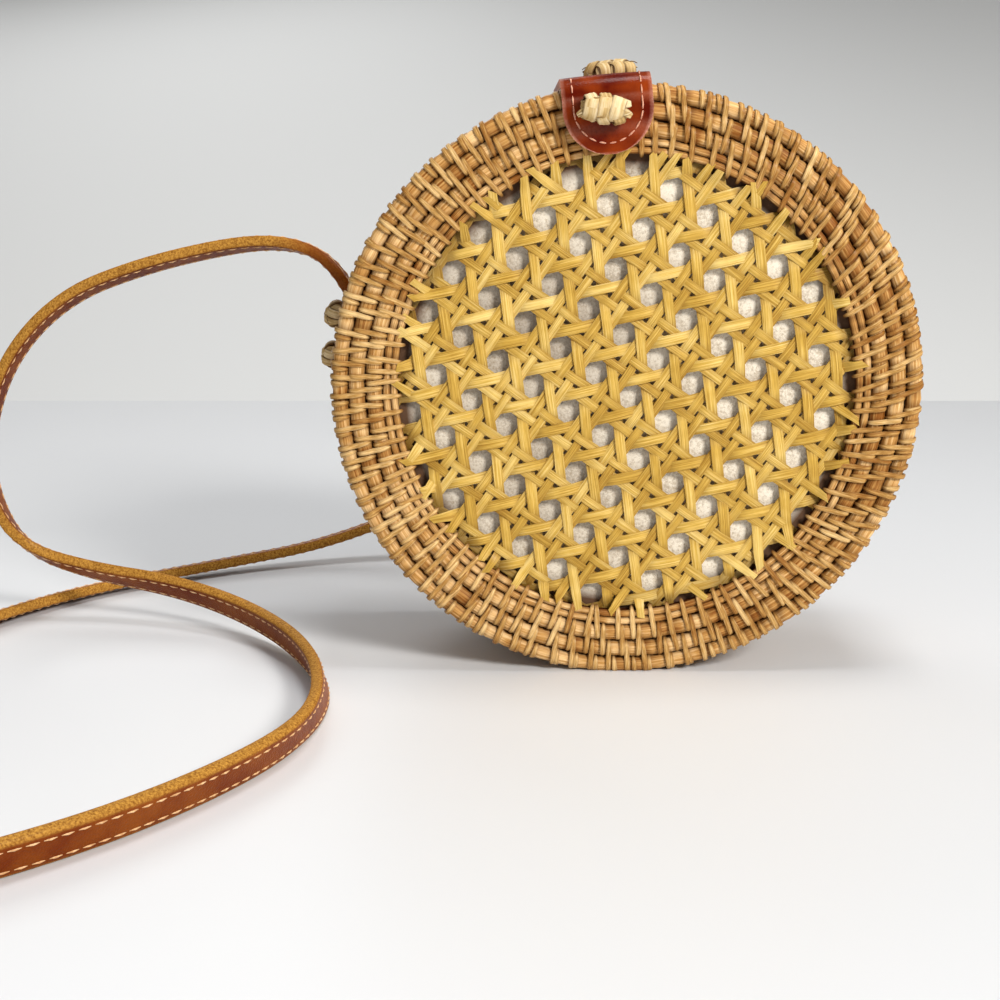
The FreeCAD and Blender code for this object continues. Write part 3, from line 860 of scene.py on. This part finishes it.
anchor = {
    "offset": 6.0, "place": 16.0, "height": 107.7, "size": (17.0, 10.4, 8.6),
    "bands": [(-5.0, 0.5, 0.85), (-4.2, -0.5, 0.85), (-0.6, 0.5, 0.85), (0.6, -0.5, 0.85), (4.4, 0.5, 0.85),
              (5.0, -0.45, 0.85)],
    "tails": [(1, -0.5, 0.3), (1, 0.3, 0.5), (-1, 0.2, 0.6)], "frays": (-1, 1)}
anchorKnot = bandKnot("tab_anchor_knot_cane", anchor, 9)
anchorKnot.location = Vector((anchor["offset"], anchor["place"], anchor["height"])) * mm
ontoBag(settle(anchorKnot))
give(anchorKnot, knotFinish, "back_half", "twisted_cane", "tab_anchor_knot")
print("knots wound")


# Leather tab bent over the rim, round at both ends, with a slot for each knot
tab = {"width": 29.4, "thick": 2.7, "tail": 30.0, "end": 77.6, "top": 102.0, "face": 42.0, "bend": 6.0,
       "bulge": 0.9, "bulgeAt": 90.5, "bulgeRun": 6.5, "dish": 0.35, "slot": (9.0, 4.4), "slotDeep": 14.0,
       "soft": 0.95, "stitchIn": 3.5, "stitchFrom": 27.5, "stitchPitch": 3.2, "stitchLength": 2.9,
       "thread": 0.32, "proud": 0.06, "hinge": (11, -3)}


def tabWay(t):  # middle line of the leather in the bag's depth and height, with its outward side
    flat = tab["tail"] + tab["face"] - tab["bend"]
    arc = math.pi / 2 * tab["bend"]
    total = flat + arc + tab["top"] - tab["bend"] - tab["end"]
    s = np.asarray(t) * total
    turn = np.clip((s - flat) / arc, 0, 1) * math.pi / 2
    y = tab["tail"] - np.minimum(s, flat) - tab["bend"] * np.sin(turn)
    z = tab["top"] - tab["bend"] * (1 - np.cos(turn)) - np.maximum(s - flat - arc, 0)
    bulge = tab["bulge"] * np.exp(-((z - tab["bulgeAt"]) / tab["bulgeRun"]) ** 2) * np.sin(turn) ** 4
    return y - bulge, z, s, total, np.sin(turn), np.cos(turn)


def tabHalfWidth(s, total):
    half = tab["width"] / 2
    past = np.clip(np.maximum(half - s, s - (total - half)), 0, half)  # how far into a round end
    return np.sqrt(np.maximum(half ** 2 - past ** 2, (0.10 * half) ** 2))


def makeTab():
    sheet, across, along = addGrid(20, 96)
    t = along - 0.018 * np.sin(2 * math.pi * along)  # rows closer at the round ends
    y, z, s, total, sinTurn, cosTurn = tabWay(t)
    half = tabHalfWidth(s, total)
    dish = tab["dish"] * across ** 2 * np.clip(half / (tab["width"] / 2), 0, 1)
    writePoints(sheet, np.stack([-across * half, y + dish * sinTurn, z - dish * cosTurn], 1) * mm)
    writeTone(sheet, np.zeros(len(t)), "edge")
    closeShell(sheet)
    thicken(sheet, tab["thick"])
    wide, high = tab["slot"]
    slots = (((closure["offset"], -tab["face"], closure["radius"]), (wide, tab["slotDeep"], high)),
             ((anchor["offset"], anchor["place"], tab["top"]), (wide, high, tab["slotDeep"])))
    for place, size in slots:
        deselectAll()
        bpy.ops.mesh.primitive_cube_add(size=1.0, location=Vector(place) * mm)
        cutter = bpy.context.active_object
        cutter.scale = Vector(size) * mm
        settle(cutter)
        hole = sheet.modifiers.new("slot", "BOOLEAN")
        hole.object = cutter
        hole.solver = "EXACT"
        applyMods(sheet)
        bpy.data.objects.remove(cutter)
    soft = sheet.modifiers.new("soft", "BEVEL")
    soft.width = tab["soft"] * mm
    soft.segments = 3
    soft.limit_method = "ANGLE"
    soft.angle_limit = math.radians(50)
    applyMods(sheet)
    sheet.name = "closure_tab_leather"
    return sheet


def markTabEdge(sheet):  # the cut edge is raw
    n = readNormals(sheet)
    _, y, z = readPoints(sheet).T / mm
    facing = np.where(z > tab["top"] - tab["bend"], np.hypot(n[:, 1], n[:, 2]), np.abs(n[:, 1]))
    facing = np.where(-y < tab["face"] - tab["bend"], np.abs(n[:, 2]), facing)
    onFlap = 0.4 + 0.6 * np.clip((-y - 5) / 32, 0, 1)  # more worn on the flap
    writeTone(sheet, np.clip((0.995 - facing) / 0.04, 0, 1) * onFlap, "edge")


def stitchPiece(length, radius):  # one stitch, lying along X
    deselectAll()
    bpy.ops.mesh.primitive_cylinder_add(vertices=6, radius=radius, depth=length, rotation=(0, math.pi / 2, 0))
    one = settle(bpy.context.active_object)
    bpy.ops.object.mode_set(mode="EDIT")
    bpy.ops.mesh.select_all(action="SELECT")
    bpy.ops.mesh.subdivide(number_cuts=1)
    bpy.ops.object.mode_set(mode="OBJECT")
    p = readPoints(one)
    share = np.abs(p[:, 0]) / (length / 2)
    p[:, 1:] *= (1 - 0.45 * share ** 2)[:, None]
    p[:, 2] -= radius * 1.1 * share ** 2  # ends go down into the leather
    writePoints(one, p)
    return one


def standAt(obj, x, y, z, place):  # turned to three directions
    m = Matrix((x, y, z)).transposed().to_4x4()
    m.translation = place
    obj.matrix_world = m


def layStitches(leather, frames, name):  # a copy of one stitch at each frame of three directions and a place
    one = stitchPiece(leather["stitchLength"] * mm, leather["thread"] * mm)
    copies = []
    for frame in frames:
        copy = one.copy()
        copy.data = one.data.copy()
        scene.collection.objects.link(copy)
        standAt(copy, *frame)
        copies.append(copy)
    bpy.context.view_layer.update()
    bpy.data.objects.remove(one)
    return softShade(settle(joinAs(copies, name)), 60)


tabPiece = makeTab()
markTabEdge(tabPiece)
inset = tab["width"] / 2 - tab["stitchIn"]
halfPitch = tab["stitchPitch"] / 2
total = float(tabWay(0.0)[3])
roundStart = total - tab["width"] / 2
straight = []  # along the leather and across it, mm
s = total - tab["stitchFrom"]
while s < roundStart:
    straight.append((s, -inset))
    s += halfPitch
turns = int(math.pi * inset / halfPitch)
angles = [math.pi * k / turns for k in range(turns + 1)]
seam = straight + [(roundStart + inset * math.sin(a), -inset * math.cos(a)) for a in angles]
seam += [(s, -x) for s, x in reversed(straight)]
spots = []
for s, x in seam:
    y, z, _, _, sinTurn, cosTurn = (np.ravel(v)[0] for v in tabWay(s / total))
    out = Vector((0, -sinTurn, cosTurn))
    spots.append((Vector((-x, y, z)) * mm + out * (tab["thick"] / 2 + tab["proud"]) * mm, out))
frames = []
for (p0, _), (p1, out), (p2, _) in list(zip(spots, spots[1:], spots[2:]))[::2]:
    x = (p2 - p0).normalized()
    z = (out - x * out.dot(x)).normalized()
    frames.append((x, z.cross(x), z, p1))
tabStitches = layStitches(tab, frames, "closure_tab_stitches")
softShade(ontoBag(tabPiece), 45)
ontoBag(tabStitches)
for piece, finish in ((tabPiece, tabFinish), (tabStitches, tabThread)):
    dress(piece, finish)
    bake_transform(piece)
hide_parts("closure_tab")
print("tab sewn,", len(frames), "stitches")


# Shoulder strap: flat leather along one smooth line, standing on its edge in the near loop
strap = {
    "width": 11.0, "thick": 4.0, "stitchIn": 2.1, "stitchPitch": 4.6, "stitchLength": 4.7, "thread": 0.33,
    "proud": 0.1, "darkEnds": 17.0, "darkEndsFade": 18.0,
    "ends": [((-98.92, 26, 128.55), (-102.55, 26, 135.68)), ((92.37, 26, 145.29), (89.9, 26, 152.89))],
    "route": [  # place, and which way one edge of the strap leans
        ((-112, 26, 144), (0, -1, 0.1)), ((-127, 26, 147), (0, -1, 0.2)), ((-146, 26, 145), (0, -1, 0.28)),
        ((-176, 26, 138), (0, -1, 0.3)), ((-205, 25, 127), (0, -1, 0.3)), ((-227, 24, 105), (0, -1, 0.25)),
        ((-238, 24, 76), (0, -1, 0.2)), ((-238, 26, 50), (0, -1, 0.25)), ((-228, 31, 29), (0, -1, 0.5)),
        ((-203, 33, 19.5), (0, -0.9, 0.7)), ((-168, 25, 15.5), (0, -0.7, 0.8)),
        ((-138, 8, 10), (0, -0.55, 0.85)), ((-114, -24, 6.5), (0, -0.5, 0.87)),
        ((-100, -67, 5.9), (-0.2, -0.4, 0.87)), ((-102, -111, 5.9), (0.2, -0.45, 0.87)),
        ((-121, -151, 5.9), (0.1, -0.5, 0.87)), ((-152, -190, 5.9), (0, -0.5, 0.87)),
        ((-194, -222, 5.9), (0, -0.4, 0.9)), ((-236, -214, 5.9), (-0.1, -0.2, 0.95)),
        ((-262, -172, 5.7), (0.2, 0, 0.9)), ((-266, -112, 5.0), (0.5, 0, 0.75)),
        ((-260, -45, 3.9), (0.8, -0.2, 0.5)), ((-243, 20, 3.5), (0.8, -0.5, 0.35)),
        ((-212, 70, 3.4), (0.75, -0.65, 0.25)), ((-168, 107, 4), (0.6, -0.8, 0.2)),
        ((-118, 130, 9), (0.4, -0.9, 0.2)), ((-62, 138, 32), (0.2, -1, 0.2)),
        ((0, 128, 70), (-0.45, -0.9, 0)), ((45, 103, 112), (-0.52, -0.84, -0.1)),
        ((68, 77, 142), (-0.79, -0.61, 0)), ((82.5, 55, 159), (-0.87, -0.32, 0.34)),
        ((89.5, 38, 161), (-0.62, -0.33, 0.7))]}


def startCurve(name, points, resolution=12):  # smooth line near the points, and its curve
    curve = bpy.data.curves.new(name, "CURVE")
    curve.dimensions = "3D"
    curve.resolution_u = resolution
    line = curve.splines.new("NURBS")
    line.points.add(len(points) - 1)
    for spot, p in zip(line.points, points):
        spot.co = (*(Vector(p) * mm), 1)
    line.order_u = 3
    return curve, line


def curveToMesh(curve):
    holder = bpy.data.objects.new(curve.name, curve)
    scene.collection.objects.link(holder)
    pick(holder)
    bpy.ops.object.convert(target="MESH")
    return bpy.context.active_object


def strapLine():
    left, right = strap["ends"]
    points = [left[0], left[1]] + [p for p, _ in strap["route"]] + [right[1], right[0]]
    ways = [(0, -1, 0), (0, -1, 0)] + [w for _, w in strap["route"]] + [(-0.2, -0.55, 0.8), (0, -1, 0)]
    curve, spline = startCurve("strapLine", points, 10)
    spline.use_endpoint_u = True
    holder = curveToMesh(curve)
    line = readPoints(holder)
    bpy.data.objects.remove(holder)
    where = [int(np.argmin(np.linalg.norm(line - mark, axis=1))) for mark in np.array(points, float) * mm]
    for k in range(1, len(where)):
        where[k] = max(where[k], where[k - 1] + 1)
    where[-1] = max(where[-1], len(line) - 1)
    ways = np.array(ways, float)
    return line, np.stack([np.interp(np.arange(len(line)), where, ways[:, k]) for k in range(3)], 1)


def ribbonFrames(line, lean):
    run = unit(np.gradient(line, axis=0))

    def squareToRun(wide):
        return unit(wide - (wide * run).sum(1)[:, None] * run)

    wide = squareToRun(lean)
    for _ in range(6):  # even the twist
        wide[1:-1] = (wide[:-2] + 2 * wide[1:-1] + wide[2:]) / 4
        wide = squareToRun(wide)
    return run, wide, np.cross(run, wide)


def ribbon(line, wide, flat, thick, name, bare=1.0):
    half = np.array([(-1.0, -0.55), (-0.93, -0.9), (-0.8, -1.0), (-0.4, -1.02),
                     (0.4, -1.02), (0.8, -1.0), (0.93, -0.9), (1.0, -0.55)])
    outline = np.vstack([half, -half]) * (strap["width"] / 2 * mm, thick / 2 * mm)
    raw = np.array([1, 0.75, 0, 0, 0, 0, 0.75, 1] * 2)
    n = len(outline)
    sheet, across, along = addGrid(n, len(line) - 1)
    around = np.rint((across + 1) / 2 * n).astype(int) % n
    i = np.rint(along * (len(line) - 1)).astype(int)
    o = outline[around]
    writePoints(sheet, line[i] + wide[i] * o[:, :1] + flat[i] * o[:, 1:])
    writeTone(sheet, raw[around] * (bare * np.ones(len(line)))[i], "edge")
    closeShell(sheet, 0.01, True)
    sheet.name = name
    return softShade(sheet, 45)


def stitchFrames(line, run, wide, flat, thick, faces=(1, -1), ends=4.0):
    frames = []
    gone = wayGone(line) / mm
    inset = strap["width"] / 2 - strap["stitchIn"]
    for face in faces:
        for edge in (1, -1):
            at = ends + (0 if edge > 0 else strap["stitchPitch"] / 2)
            while at < gone[-1] - ends:
                rows = [[np.interp(at, gone, a[:, k]) for k in range(3)] for a in (line, run, wide, flat)]
                x, y, z = (Vector(row).normalized() for row in rows[1:])
                z *= face
                place = Vector(rows[0]) + (y * inset * edge + z * (thick / 2 + strap["proud"])) * mm
                frames.append((x, z.cross(x), z, place))
                at += strap["stitchPitch"]
    return frames


line, lean = strapLine()
run, wide, flat = ribbonFrames(line, lean)
gone = wayGone(line)
fromEnd = np.minimum(gone, gone[-1] - gone) / mm
bare = np.clip((fromEnd - strap["darkEnds"]) / strap["darkEndsFade"], 0.15, 1)  # edges turn darker, to the face's colour, towards both ends
strapPiece = restOnFloor(ribbon(line, wide, flat, strap["thick"], "shoulder_strap_leather", bare))
give(strapPiece, strapFinish, "back_half", "strap_leather", "shoulder_strap")
frames = stitchFrames(line, run, wide, flat, strap["thick"])
strapStitches = restOnFloor(layStitches(strap, frames, "shoulder_strap_stitches"))
give(strapStitches, strapThread, "back_half", "strap_leather")
print("strap laid,", round(float(gone[-1]), 3), "m,", len(frames), "stitches")


# Strap ends lie round the rim under two knots each
strapEnd = {
    "angle": 13.0, "place": 20.0, "length": 30.0, "radius": 102.1, "thick": 3.6, "steps": 24,
    "knots": 14.6, "knotRise": 4.4, "knotShift": -1.4,
    "knot": {"size": (9.8, 9.2, 8.2), "tails": [], "frays": (),
             "bands": [(-1.5, 0.36, 0.74), (1.5, 0.30, 0.74), (0.1, -0.45, 0.72)]}}
for word, side in (("left", -1), ("right", 1)):
    r = strapEnd["radius"]
    middle = math.radians(strapEnd["angle"])
    spread = strapEnd["length"] / 2 / r
    angles = np.linspace(middle - spread, middle + spread, strapEnd["steps"])
    along = np.full(len(angles), strapEnd["place"])
    line = np.stack([side * r * np.cos(angles), along, r * np.sin(angles)], 1) * mm
    run = unit(np.gradient(line, axis=0))
    wide = np.tile((0.0, -1.0, 0.0), (len(angles), 1))
    flat = np.cross(run, wide)
    end = ribbon(line, wide, flat, strapEnd["thick"], word + "_strap_end_leather")
    frames = stitchFrames(line, run, wide, flat, strapEnd["thick"], (-side,), 3.0)
    stitches = layStitches(strap, frames, word + "_strap_end_stitches")
    give(ontoBag(end), strapFinish, "back_half", "strap_leather", word + "_strap_end")
    give(ontoBag(stitches), strapThread, "back_half", "strap_leather")
    lumps = []
    for k, offset in enumerate((-strapEnd["knots"] / 2, strapEnd["knots"] / 2)):
        lump = bandKnot("strapKnot", strapEnd["knot"], 20 + 7 * k + side)
        a = middle + (offset + strapEnd["knotShift"]) / r
        out = Vector((side * math.cos(a), 0, math.sin(a)))
        up = Vector((-side * math.sin(a), 0, math.cos(a)))
        centre = out * (r + strapEnd["knotRise"]) + Vector((0, strapEnd["place"], 0))
        standAt(lump, up, out.cross(up), out, centre * mm)
        lumps.append(settle(lump))
    both = ontoBag(joinAs(lumps, word + "_strap_knot_cane"))
    give(both, knotFinish, "back_half", "twisted_cane", word + "_strap_knots")
print("strap ends knotted")


# Cane windings that hinge the halves at the bottom
lashing = {"angle": 7.0, "turns": 3, "wide": 1.55, "reach": 6.6,
           "outside": 98.4, "inside": 92.9, "thick": 0.55}


def lashingLoop(x):
    corners = [(-1, -1), (1, -1), (1, 1), (-1, 1)]
    high = (lashing["outside"] - lashing["inside"]) / 2
    mid = -(lashing["outside"] + lashing["inside"]) / 2
    points = []
    for (y0, z0), (y1, z1) in zip(corners, corners[1:] + corners[:1]):
        for t in (0.04, 0.5, 0.96):
            y = y0 + (y1 - y0) * t
            z = z0 + (z1 - z0) * t
            points.append((x, y * lashing["reach"], mid + z * high))
    curve, spline = startCurve("lashing", points)
    spline.use_cyclic_u = True
    curve.bevel_depth = lashing["thick"] * mm
    curve.bevel_resolution = 2
    loop = curveToMesh(curve)
    writeTone(loop, np.full(len(loop.data.vertices), 0.5 + 0.1 * x))
    writeTone(loop, np.ones(len(loop.data.vertices)), "lit")
    return loop


loops = []
for turn in (-lashing["angle"], lashing["angle"]):
    for k in range(lashing["turns"]):
        loop = lashingLoop((k - 1) * lashing["wide"])
        loop.rotation_euler = (0, math.radians(turn), 0)
        loops.append(settle(loop))
lashings = softShade(ontoBag(joinAs(loops, "hinge_lashing_cane")), 60)
dress(lashings, knotFinish)
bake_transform(lashings)
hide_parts("hinge_lashings")
print("hinge lashed")


# Pale floor and wall, soft light from the upper right
stage = {"size": 6.0, "floor": (0.71, 0.725, 0.745), "floorRough": 0.45,
         "wall": (0.68, 0.69, 0.69), "wallRough": 0.8, "wallAt": 0.69, "wallLean": 25.0,
         "air": (1.0, 0.99, 0.975), "airStrength": 0.21}


def plainFinish(name, colour, rough):
    m, _, _, shader = startFinish(name)
    setInputs(shader, {"Base Color": (*colour, 1), "Roughness": rough})
    return m


def addPlane(name, finish, place=(0, 0, 0), lean=0.0):
    deselectAll()
    bpy.ops.mesh.primitive_plane_add(size=stage["size"], location=place, rotation=(lean, 0, 0))
    plane = bpy.context.active_object
    plane.name = name
    plane.data.materials.append(finish)


addPlane("paleFloor", plainFinish("floorWhite", stage["floor"], stage["floorRough"]))
wallLean = math.radians(stage["wallLean"])  # leans away, so that the bag is seen from behind too
half = stage["size"] / 2
wallMiddle = (0, stage["wallAt"] + half * math.cos(wallLean), half * math.sin(wallLean))
addPlane("paleWall", plainFinish("wallGrey", stage["wall"], stage["wallRough"]), wallMiddle, wallLean)

world = bpy.data.worlds.new("softRoom")
scene.world = world
world.use_nodes = True
air = world.node_tree.nodes["Background"]
setInputs(air, {"Color": (*stage["air"], 1), "Strength": stage["airStrength"]})

lamps = {  # place, aim and size in metres, power, colour
    "keyLamp": ((0.93, -1.24, 1.0), (0, 0, 0.1), 0.46, 35.0, (1.0, 0.97, 0.93)),
    "topLamp": ((0.16, -0.02, 1.3), (0, 0, 0.05), 0.4, 7.0, (1, 1, 1)),
    "fillLamp": ((-0.8, -0.9, 0.45), (0, 0, 0.1), 0.7, 1.3, (1, 1, 1)),
    "backLamp": ((-0.5, 1.3, 1.1), (0, 0, 0.1), 0.9, 6.0, (1, 1, 1))}
for name, (place, aim, size, power, colour) in lamps.items():
    data = bpy.data.lights.new(name, "AREA")
    data.energy = power
    data.size = size
    data.color = colour
    lamp = bpy.data.objects.new(name, data)
    scene.collection.objects.link(lamp)
    lamp.location = place
    lamp.rotation_euler = (Vector(aim) - Vector(place)).to_track_quat("-Z", "Y").to_euler()
print("stage lit")
